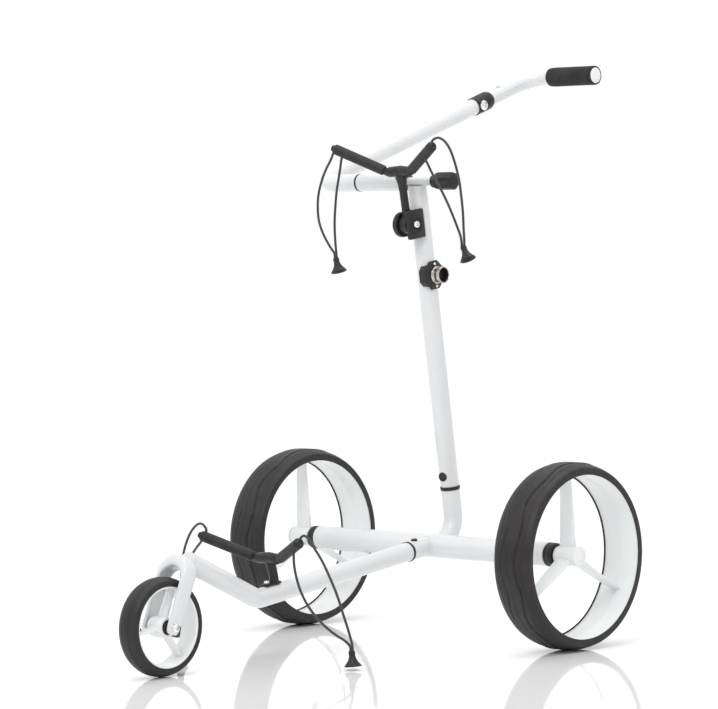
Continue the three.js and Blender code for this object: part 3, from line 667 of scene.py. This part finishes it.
def rear_tyre(side, out):
    wall = [(131.5, -33.4), (127.2, -33.5), (126.6, -34), (127.2, -34.8), (133, -35), (137, -34.4),
            (139.4, -33.2), (140.8, -31.4)]
    crown = [(REAR_R - 4.2 * max(0, (abs(t) - 14) / 17) ** 2, t) for t in [k * 0.75 for k in range(-41, 42)]]
    far = [(r, -t) for r, t in reversed(wall)]
    profile = [*wall, *crown, *far, wall[0]]
    place = Matrix.Translation(at(out * REAR_X, 0, REAR_R)) @ TO_X
    make(f"tyre_{side}", f"rear_wheel_{side}", "tyre", lathe(profile, place, 352, rear_tread),
         stands_for=[f"rear_tyre_{side}"])


SECTION_SIDES = 28


def squared(value, power):
    """Pushes a sine or cosine outward, which squares off a round section."""
    return math.copysign(abs(value) ** power, value)


def blade(place, turn, root, reach, half_thick, half_wide, middle=0):
    """A spoke with a soft oval section, wide along the axle and thin across, easing into the rim."""
    rings = []
    stations = 18
    for k in range(stations + 1):
        s = k / stations
        r = root + (reach - root) * s
        w = half_thick[0] + (half_thick[1] - half_thick[0]) * s ** 0.8
        d = half_wide[0] + (half_wide[1] - half_wide[0]) * s
        ring = []
        for i in range(SECTION_SIDES):
            a = 2 * math.pi * i / SECTION_SIDES
            across = squared(math.cos(a), 0.75) * w
            deep = squared(math.sin(a), 0.75) * d + middle
            ring.append(Vector((deep, r, across)) * MM)
        rings.append(ring)
    bm = loft(rings)
    bm.transform(place @ Matrix.Rotation(turn, 4, "X"))
    return bm


def rear_rim(side, out):
    place = Matrix.Translation(at(out * REAR_X, 0, REAR_R))
    x = place @ TO_X
    barrel = [(128.4, -31.6), (129, -32.8), (130.2, -33.2), (131.1, -32.8), (131.1, 32.8), (130.2, 33.2),
              (129, 32.8), (128.4, 31.6), (128.4, 24), (128.0, 2), (127.2, 0), (128.0, -2), (128.4, -24),
              (128.4, -31.6)]
    hub = [(12.3, -22), (13.4, -22), (14.2, -21), (14.8, -14), (15.8, -8), (16, -2), (15.8, 6), (15.4, 12),
           (15.2, 17), (14.8, 17.9), (12.3, 17.9), (12.3, -22)]
    spokes = [blade(place, math.radians(92 + 120 * i), root=11, reach=129, half_thick=(5, 2.2),
                    half_wide=(15.6, 10.4), middle=-2 * out) for i in range(3)]
    make(f"rim_{side}", f"rear_wheel_{side}", "rim_plastic", lathe(barrel, x, 192),
         lathe(flipped(hub, out), x, 64), *spokes, stands_for=[f"rear_rim_{side}"])
    cap = [(0, 16.8), (11.6, 16.8), (11.6, 18.3), (15, 18.4), (15.5, 19.2), (15, 21), (12.6, 22.3),
           (8.6, 22.6), (8, 22.1), (7.4, 22.6), (0, 23)]
    make(f"hub_cap_{side}", f"rear_wheel_{side}", "rim_plastic", lathe(flipped(cap, out), x, 64),
         stands_for=[f"rear_hub_cap_{side}"])
    for where, h in (("inner", -21), ("outer", 9)):
        ring = band(12, AXLE_BORE, h, h + 6, 0.6)
        seal = [(7.6, h - 0.1), (10.6, h - 0.1), (10.6, h + 6.1), (7.6, h + 6.1), (7.6, h - 0.1)]
        make(f"bearing_{side}_{where}", f"rear_wheel_{side}", "bearing_steel",
             lathe(flipped(ring, out), x, 48), lathe(flipped(seal, out), x, 48),
             stands_for=[f"rear_bearing_{side}_{where}"])


def front_wheel():
    place = Matrix.Translation(at(*FRONT_HUB))
    x = place @ TO_X
    tread = [(FRONT_R - 3.4 * (abs(t) / 14) ** 2.4, t) for t in [k * 0.7 for k in range(-20, 21)]]
    wall = [(60.9, -17.8), (64, -18.2), (67.4, -17.8), (69.6, -16.2)]
    tyre = [*wall, *tread, (69.6, 16.2), (67.4, 17.8), (64, 18.2), (60.9, 17.8), (60.9, -17.8)]
    lines = lambda r, h, a: groove(abs(h), 6.5, 1.0, 0.8) if r > 69 else 0
    make("tyre_front", "front_wheel", "tyre", lathe(tyre, x, 160, lines), stands_for=["front_tyre"])
    barrel = [(57.3, -16), (58.4, -17), (60.5, -17), (60.5, 17), (58.4, 17), (57.3, 16), (57, 2), (56.4, 0),
              (57, -2), (57.3, -16)]
    hub = [(11.3, -15), (14, -15), (15, -14), (16, -4), (16, 4), (15, 14), (14, 15), (11.3, 15), (11.3, -15)]
    spokes = [blade(place, math.radians(67 + 120 * i), root=11, reach=58, half_thick=(4.8, 3.2),
                    half_wide=(8.6, 7)) for i in range(3)]
    make("rim_front", "front_wheel", "rim_plastic", lathe(barrel, x, 128), lathe(hub, x, 56), *spokes,
         stands_for=["front_rim"])
    studs = [lathe(disc(2.2, 0, 5, 0.6), place @ Matrix.Translation(Vector((0, y, z)) * MM), 24)
             for y, z in ((-42.5, -3), (-52.5, -4))]
    make("rim_studs", "front_wheel", "black_plastic", *studs)
    for side, out in SIDES:
        ring = [(BOLT_BORE, 8), (11, 8), (11, 15), (10.4, 15.4), (8.4, 15.4), (7.8, 14.8), (7, 15.4),
                (6.5, 16), (6.5, 22.1), (BOLT_BORE, 22.1), (BOLT_BORE, 8)]
        make(f"bearing_front_{side}", "front_wheel", "black_plastic", lathe(flipped(ring, out), x, 48),
             stands_for=[f"front_bearing_{side}"])
    head = [(0, 30.8), (5.7, 30.8), (6, 31.2), (6, 34), (5.2, 35), (3.2, 35.4), (2.9, 32.6), (0, 32.6)]
    shank = [(0, -37), (3.4, -37), (BOLT_R, -36.4), (BOLT_R, 31), (0, 31)]
    make("bolt_front", "front_arm", "bright_steel", lathe(head, x, 40), lathe(shank, x, 32),
         lathe(band(8, BOLT_BORE, 30.6, 31.2, 0.2), x, 40), stands_for=["front_axle_bolt"])
    make("nut_front", "front_arm", "bright_steel", lathe(band(7.4, BOLT_BORE, -36.4, -31.6), x, 6),
         lathe(band(8, BOLT_BORE, -31.5, -30.9, 0.2), x, 40), stands_for=["front_axle_nut"])


def wheels():
    for side, out in SIDES:
        rear_tyre(side, out)
        rear_rim(side, out)
        x = Matrix.Translation(at(0, 0, REAR_R)) @ TO_X
        collar = [(AXLE_BORE, 224), (16.2, 224), (16.2, 246.3), (18.2, 246.3), (18.8, 247), (18.8, 250),
                  (18.2, 251), (18.2, 253), (18.7, 254), (18.4, 259.6), (16.8, 261.6), (AXLE_BORE, 261.8),
                  (AXLE_BORE, 224)]
        make(f"collar_{side}", "base", "black_plastic", lathe(flipped(collar, out), x, 72),
             stands_for=[f"axle_collar_{side}"])
        axle = [(0, 200), (5.6, 200), (AXLE_R, 200.5), (AXLE_R, 300), (5, 301), (0, 301)]
        make(f"axle_{side}", "base", "bearing_steel", lathe(flipped(axle, out), x, 32),
             stands_for=[f"stub_axle_{side}"])
    front_wheel()


# ---------------------------------------------------------------- frame
def line(start, way, distance):
    """The point a distance in millimetres along a way from start."""
    return start + way * distance * MM


ARM_ON = (at(*ARM_CORNER) - at(*ARM_SEAM)).normalized()
ARM_UP = Vector((0, ARM_ON.z, -ARM_ON.y))
MAST_UP = (MAST.to_3x3() @ Vector((0, 0, 1))).normalized()


def on_arm(distance):
    """Frame on the arm's axis: Y is the arm's upper side and Z runs forward."""
    axes = Matrix((Vector((1, 0, 0)), ARM_UP, ARM_ON)).transposed().to_4x4()
    return Matrix.Translation(line(at(*ARM_SEAM), ARM_ON, distance)) @ axes


def weld_bead(out):
    """The ripple of weld where the base tube meets the axle tube."""
    middle = at(0, 0, REAR_R)
    offset = at(*ARM_SEAM) - middle
    rise = offset.dot(ARM_UP) / MM
    points = []
    stations = 48
    for k in range(stations + 1):
        a = 2 * math.pi * k / stations
        up = rise + TUBE_R * math.sin(a)
        reach = out * math.sqrt(max(0, AXLE_TUBE_R ** 2 - up ** 2))
        sideways = Vector((TUBE_R * math.cos(a), 0, 0))
        points.append(middle + sideways * MM + (ARM_UP * up + ARM_ON * reach) * MM)
    ripple = [1.5 + 0.25 * math.sin(k * 2.4) for k in range(len(points))]
    return sweep(points, ripple, 12)


def mast_button_place():
    """Frame of the mast's button: on the mast's axis, with Z out of its front."""
    return MAST @ Matrix.Translation((0, 0, MAST_BUTTON_UP * MM)) @ Matrix.Rotation(math.pi / 2, 4, "X")


def arm_button_place():
    """Frame of the arm's button: on the arm's axis, with Z out of its upper side."""
    return on_arm(-ARM_BUTTON_BACK) @ TO_Y


def window(radius, place):
    """Cutter for the hole that a push button works in."""
    return lathe(disc(radius, 6, 22, 0.2), place, 40)


def base_frame():
    seam = at(*MAST_SEAM)
    route = rounded([seam, at(*BASE_CORNER), at(*ARM_SEAM)], BASE_BEND_R, 20)
    tube = drilled(pipe(route, TUBE_R, SPIGOT_BORE), window(ARM_BUTTON_HOLE, arm_button_place()))
    x = Matrix.Translation(at(0, 0, REAR_R)) @ TO_X
    axle = band(AXLE_TUBE_R, AXLE_TUBE_BORE, -AXLE_TUBE_HALF, AXLE_TUBE_HALF, 0.6)
    spigot = [line(seam, MAST_UP, d) for d in (-4, SPIGOT_LENGTH - 2, SPIGOT_LENGTH)]
    keyway = block((-MAST_BUTTON_HOLE, -20, MAST_BUTTON_UP), (MAST_BUTTON_HOLE, -8, SPIGOT_LENGTH + 5),
                   MAST, bevel=0.2)
    stub = drilled(pipe(spigot, [SPIGOT_R, SPIGOT_R, SPIGOT_R - 0.8], SPIGOT_BORE, 40),
                   window(MAST_BUTTON_HOLE, mast_button_place()), keyway)
    make("frame_base", "base", "white_paint", tube, lathe(axle, x, 80), stub, weld_bead(1), weld_bead(-1),
         stands_for=["base_frame"])


def button(name, body, node, place, radius, foot, top, slot="black_plastic"):
    """A push button with a rim, standing along its place's Z from foot to top."""
    press = disc(radius - 1.4, foot, top, 0.7)
    rim = [(radius - 1.3, foot), (radius, foot), (radius, top - 0.9), (radius - 0.5, top - 0.4),
           (radius - 1.3, top - 0.4), (radius - 1.3, foot)]
    make(name, body, slot, lathe(press, place, 40), lathe(rim, place, 40), stands_for=[node])


def fork_shell():
    """Two flat legs joined by a deep rounded crown."""
    rings = []
    legs = [(-10, 4), (-9.4, 6.2), (-8.2, 8), (-6, 9.4), (-2, 10.6), (5, 11.2), (20, 11.8), (45, 12.6)]
    stations = [(FORK_OUTER, z, FORK_INNER, z, w) for z, w in legs]
    turns = 24
    for k in range(turns + 1):
        a = math.pi * k / turns
        stations.append((FORK_OUTER * math.cos(a), CROWN_OUTER_Z + FORK_OUTER * math.sin(a),
                         FORK_INNER * math.cos(a), CROWN_INNER_Z + FORK_INNER * math.sin(a), CROWN_HALF))
    stations += [(-FORK_OUTER, z, -FORK_INNER, z, w) for z, w in reversed(legs)]
    for outer_x, outer_z, inner_x, inner_z, half_wide in stations:
        ring = []
        for i in range(SECTION_SIDES):
            a = 2 * math.pi * i / SECTION_SIDES
            mix = (1 + squared(math.cos(a), 0.4)) / 2
            ring.append(Vector((inner_x + (outer_x - inner_x) * mix, squared(math.sin(a), 0.5) * half_wide,
                                inner_z + (outer_z - inner_z) * mix)) * MM)
        rings.append(ring)
    bm = loft(rings)
    bm.transform(FORK)
    return bm


def front_arm():
    seam = at(*ARM_SEAM)
    route = rounded([line(seam, ARM_ON, GAP), at(*ARM_CORNER), at(*ARM_END)], ARM_BEND_R, 18)
    plug = [line(seam, ARM_ON, d) for d in (-PLUG_LENGTH, 2 - PLUG_LENGTH, 10)]
    keyway = block((-ARM_BUTTON_HOLE, 6, -PLUG_LENGTH - 5), (ARM_BUTTON_HOLE, 20, -ARM_BUTTON_BACK),
                   on_arm(0), bevel=0.2)
    stub = drilled(pipe(plug, [PLUG_R - 0.6, PLUG_R, PLUG_R], PLUG_BORE, 32),
                   window(ARM_BUTTON_HOLE, arm_button_place()), keyway)
    make("arm_and_fork", "front_arm", "white_paint", sweep(route, TUBE_R, 56), stub,
         fork_shell(), stands_for=["front_arm"])
    ring = band(16, RING_BORE, 0, 4, 0.3)
    make("arm_ring", "front_arm", "black_plastic", lathe(ring, on_arm(1), 56), stands_for=["arm_seam_ring"])
    button("arm_release", "arm_button", "arm_button", arm_button_place(), radius=5, foot=11.5, top=17.6)


def mast():
    tube = [(0, MAST_TOP - 7), (MAST_BORE, MAST_TOP - 7), (MAST_BORE, GAP), (14.6, GAP), (TUBE_R, 0.9),
            (TUBE_R, MAST_TOP - 1), (14.4, MAST_TOP), (0, MAST_TOP)]
    sleeve = band(7, BOLT_BORE, -SLEEVE_IN, SLEEVE_OUT, 0.8)
    post = drilled(lathe(tube, MAST, 56), window(MAST_BUTTON_HOLE, mast_button_place()))
    make("mast_tube", "mast", "white_paint", post,
         lathe(sleeve, Matrix.Translation(CROSS) @ TO_X, 48), stands_for=["mast"])
    make("mast_ring", "mast", "black_plastic", lathe(band(16, RING_BORE, 1, 6.5, 0.4), MAST, 56),
         stands_for=["mast_seam_ring"])
    button("mast_release", "mast_button", "mast_button", mast_button_place(), radius=7, foot=13.2, top=17.6)


# ---------------------------------------------------------------- bag brackets
def bracket_arms(level):
    """Both arms of a Y: sideways out of the junction, then up to rounded tips."""
    shapes = []
    for _, out in SIDES:
        junction, elbow, tip = bracket_line(level, out)
        way = (tip - elbow).normalized()
        bend = rounded([junction, elbow, tip], ELBOW_BEND_R, 8)[:-1]
        ends = [line(tip, way, d) for d in (-1, 3, 6, 7.2)]
        shrink = [8.6 - 2.6 * k / (len(bend) - 1) for k in range(len(bend))]
        shapes.append(sweep([*bend, line(elbow, way, 12), *ends], [*shrink, 5, 5, 5.6, 4.4, 1.6], 28))
    return [ball(junction, 8.8), *shapes]


def sleeve(name, body, node, level, out):
    """The rubber pad over one bracket arm; marks are distances past the elbow and radii."""
    _, elbow, tip = bracket_line(level, out)
    way = (tip - elbow).normalized()
    length = (tip - elbow).length / MM
    marks = [(6, 7), (7, 7.8), (10, 8.2), (length - 4, 8.3), (length - 0.5, 8.1), (length + 1.6, 7.2),
             (length + 2.6, 5.4)]
    skin = sweep([line(elbow, way, d) for d, _ in marks], [r for _, r in marks], 36)
    make(name, body, "sleeve_rubber", skin, stands_for=[node])


def lower_bracket():
    junction = bracket_line("lower", 1)[0]
    foot = on_arm(LOWER_BRACKET_ON)
    pad = block((-7.6, 14.6, -9), (7.6, 18.4, 24), foot, bevel=1.6)
    stem = sweep([foot @ (Vector((0, h, 0)) * MM) for h in (15, 20, 27)] + [junction], [8.8, 7.4, 7.2, 8], 28)
    make("bracket_lower", "front_arm", "black_paint", pad, stem, *bracket_arms("lower"),
         stands_for=["lower_bracket"])
    screw = [(0, 16), (2.3, 16), (2.3, 19.7), (4.3, 19.7), (4.3, 21.2), (3.4, 22.4), (1.9, 22.8), (1.9, 21.4),
             (0, 21.4)]
    make("bracket_screw", "front_arm", "bright_steel", lathe(screw, on_arm(LOWER_SCREW_ON) @ TO_Y, 32),
         stands_for=["lower_bracket_screw"])
    for side, out in SIDES:
        sleeve(f"pad_lower_{side}", "front_arm", f"lower_sleeve_{side}", "lower", out)


def upper_bracket():
    here = MAST @ Matrix.Translation(Vector(PIVOT) * MM)
    p = lambda *v: here @ (Vector(v) * MM)
    knuckle = band(14.6, BOLT_BORE, -7.6, 7.6, 0.9)
    stem = [p(0, -1, 8), p(0, -1.5, 26), p(0, -2.6, 52), p(0, -3.4, 66), p(0, -4, 76),
            bracket_line("upper", 1)[0]]
    make("bracket_upper", "upper_bracket", "black_paint", lathe(knuckle, here @ TO_X, 56),
         sweep(stem, [7.4, 6.6, 6.4, 7.2, 9.4, 10], 28), *bracket_arms("upper"), stands_for=["upper_bracket"])
    for side, out in SIDES:
        sleeve(f"pad_upper_{side}", "upper_bracket", f"upper_sleeve_{side}", "upper", out)


def clamp_block():
    here = MAST @ Matrix.Translation(Vector(PIVOT) * MM)
    x = here @ TO_X
    _, y, z = PIVOT
    lug = [(BOLT_BORE, -16.5), (18.6, -16.5), (20, -15), (20, -9.2), (19, -8), (BOLT_BORE, -8),
           (BOLT_BORE, -16.5)]
    plate = block((8, y - 14, z - 23), (16.5, -9, z + 23), MAST, bevel=2.4)
    cheeks = [block((a, -23, z - 21), (b, -9.6, z + 21), MAST, bevel=1.6)
              for a, b in ((-16.3, -8.2), (8.2, 16))]
    cheeks.append(block((-9, -14.6, z - 21), (9, -9.6, z + 21), MAST, bevel=1))
    rings = [lathe(band(r + 1.2, r, 16.2, 17.2, 0.3), x, 64) for r in (8.2, 12.4)]
    hollow = lathe(band(17.6, 15.8, -17.3, -16.2, 0.3), x, 72)
    make("clamp_housing", "mast", "black_plastic", lathe(lug, x, 72), plate, *cheeks, *rings, hollow,
         stands_for=["upper_clamp_block"])
    bolt = [(0, 16.8), (5.6, 16.8), (6, 17.2), (5.9, 18.8), (4.9, 20.4), (3, 21), (2.8, 18.6), (0, 18.6)]
    far = [(0, -19), (6, -19), (6.5, -18.4), (6.5, -16.8), (BOLT_R, -16.8), (BOLT_R, 16.8), (0, 16.8)]
    make("pivot_bolt", "mast", "bright_steel", lathe(bolt, x, 48), lathe(far, x, 48),
         stands_for=["upper_pivot_bolt"])


def umbrella_holder():
    here = MAST @ Matrix.Translation((0, 0, SOCKET_HEIGHT * MM))
    x = here @ TO_X
    eight = here @ Matrix.Rotation(math.pi / 8, 4, "X") @ TO_X
    wide = 24.5
    body = [(0, RING_BORE), (wide, RING_BORE), (wide, 16), (23.6, 16.8), (19, 19.6), (18.2, 20), (0, 20)]
    cheeks = [block((10.4, a, -17), (15.6, b, 17), here, bevel=0.6) for a, b in ((-16, -11.4), (11.4, 16))]
    across = here.to_3x3() @ Vector((0, 1, 0))
    wings = [sliced(lathe([(0, 4), (wide, 4), (wide, 15.4), (0, 15.4)], eight, 8),
                    line(here.translation, across, side * 15.6), across * side) for side in (1, -1)]
    lining = lathe(band(11.3, 10.6, 26.3, 35.6, 0.2), x, 48)
    bottom = lathe(disc(11.2, 26.2, 27.2, 0.3), x, 48)
    make("socket_block", "mast", "black_plastic", lathe(body, eight, 8), *cheeks, *wings, lining, bottom,
         stands_for=["umbrella_block"])
    screws = [here @ Matrix.Translation((0, 0, z * MM)) @ TO_X for z in (17.4, -17.4)]
    dome = [(0, 18.2), (2.4, 18.2), (2.5, 19.6), (1.8, 20.6), (1.1, 20.7), (1, 19.8), (0, 19.8)]
    make("socket_screws", "mast", "bright_steel", *[lathe(dome, place, 28) for place in screws])
    ring = [(0, 20.3), (13.4, 20.3), (14, 20.8), (14, 22.8), (13.6, 23.5), (12.6, 24.1), (12.4, 25),
            (12.4, 29), (12.8, 29.6), (13.2, 30.2), (13.2, 35.6), (12.8, 36.4), (11.8, 36.4), (11.4, 35.8),
            (11.4, 26), (0, 26)]
    make("socket_metal", "mast", "nickel", lathe(ring, x, 64), stands_for=["umbrella_socket"])


# ---------------------------------------------------------------- handle
def handle():
    p = lambda *v: HANDLE @ (Vector(v) * MM)
    x = HANDLE @ TO_X
    route = rounded([p(-17.6, 0, 0), p(HANDLE_X, 0, 0), p(HANDLE_X, LOWER_STOP, 0)], HANDLE_BEND_R, 20)
    make("handle_tube", "handle", "white_paint", pipe(route, HANDLE_R, HANDLE_BORE),
         stands_for=["handle_lower_tube"])
    make("tilt_band", "handle", "black_plastic", lathe(band(14.3, 13.6, -123.9, -120.1, 0.2), x, 56),
         stands_for=["tilt_ring"])
    rod = [(0, -58), (11.8, -58), (12.3, -57.4), (12.3, -54), (BOLT_R, -54), (BOLT_R, 55.4), (3.4, 56),
           (0, 56)]
    make("screw_rod", "handle", "bright_steel", lathe(rod, x, 40), stands_for=["draw_rod"])
    lobes = lambda r, h, a: 0.6 * math.cos(6 * a) if r > 11.4 and h > SLEEVE_OUT + 6 else 0
    s = SLEEVE_OUT
    knob = [(BOLT_BORE, s + GAP), (9.8, s + GAP), (10.5, s + 1), (10.5, s + 5), (11.6, s + 7.4),
            (13, s + 9.4), (13.9, s + 13), (14, s + 40), (13.4, s + 43), (11.8, s + 44.4), (8, s + 45),
            (BOLT_BORE, s + 45.2), (BOLT_BORE, s + GAP)]
    plug = disc(4.2, s + 40, s + 44.9, 0.3)
    make("knob", "clamp_knob", "black_plastic", lathe(knob, x, 96, lobes), lathe(plug, x, 40),
         stands_for=["clamp_knob"])


def telescope():
    y = LONG @ TO_Y
    outside = HANDLE_R + GAP
    ring = [(UPPER_FIT, 426), (UPPER_FIT, 446), (13.6, 447), (15, 443.4), (15.8, 440), (15.8, 427),
            (15.6, 424), (15.9, 422), (15.6, 420), (15.6, 406), (15.2, 404.4), (outside, 404),
            (outside, LOWER_STOP + GAP), (UPPER_FIT, 426)]
    boss = block((9, 404.6, -9.4), (17.6, BOLT_PLACE + 10, 9.4), LONG, bevel=2.2)
    make("collar_clamp", "handle", "black_plastic", lathe(ring, y, 72), boss, stands_for=["handle_collar"])
    bolt = [(0, 17.2), (8, 17.2), (8.5, 17.8), (8.5, 19.2), (7.2, 20.6), (4.6, 21.4), (3.4, 21.5),
            (3.2, 19.2), (0, 19.2)]
    place = LONG @ Matrix.Translation((0, BOLT_PLACE * MM, 0)) @ TO_X
    make("clamp_screw", "handle", "bright_steel", lathe(bolt, place, 48), stands_for=["collar_bolt"])
    p = lambda *v: LONG @ (Vector(v) * MM)
    route = rounded([p(0, UPPER_FOOT, 0), p(0, GRIP_LINE, 0), p(142, GRIP_LINE, 0)], GRIP_BEND_R, 20)
    place = LONG @ Matrix.Translation((0, HANDLE_BUTTON_ON * MM, 0))
    tube = drilled(pipe(route, UPPER_R, UPPER_BORE, 52), window(3.4, place))
    make("upper_tube", "grip_section", "white_paint", tube, stands_for=["handle_upper_tube"])
    button("telescope_release", "handle_button", "handle_button", place, radius=3, foot=9, top=14.5,
           slot="bearing_steel")


def grip():
    x = HANDLE @ Matrix.Translation((0, GRIP_LINE * MM, 0)) @ TO_X
    shape = [(UPPER_FIT, -172), (14.2, -172), (15.5, -170.6), (16.1, -167), (16.5, -160), (16.4, -130),
             (16.4, -90), (16.5, -75), (16.1, -72.4), (15, -71.6), (13.9, -72.4), (13.4, -74),
             (UPPER_FIT, -74), (UPPER_FIT, -172)]
    make("grip_foam", "grip_section", "foam", lathe(shape, x, 72), stands_for=["handle_grip"])
    cap = [(0, -85.5), (10.5, -85.5), (10.5, -73.8), (13.2, -73.6), (13.5, -72.8), (13.2, -71.6),
           (11.8, -70.8), (6, -70.5), (0, -70.5)]
    make("grip_cap", "grip_section", "rim_plastic", lathe(cap, x, 64), stands_for=["grip_end_cap"])


def floor():
    """A glossy white floor, a hair under the wheels."""
    bm = bmesh.new()
    bmesh.ops.create_grid(bm, x_segments=2, y_segments=2, size=40)
    mesh = bpy.data.meshes.new("floor")
    bm.to_mesh(mesh)
    bm.free()
    obj = bpy.data.objects.new("floor", mesh)
    m = shader("floor", (0.97, 0.97, 0.97), 0.06, Specular_IOR_Level=0.5)
    vary(m, "Roughness", texture(m, "ShaderNodeTexNoise", 3), 0.04, 0.08)
    mesh.materials.append(m)
    obj.location.z = -0.0004
    bpy.context.scene.collection.objects.link(obj)


camera()
cords()
wheels()
base_frame()
front_arm()
mast()
lower_bracket()
upper_bracket()
clamp_block()
umbrella_holder()
handle()
telescope()
grip()
floor()
studio()
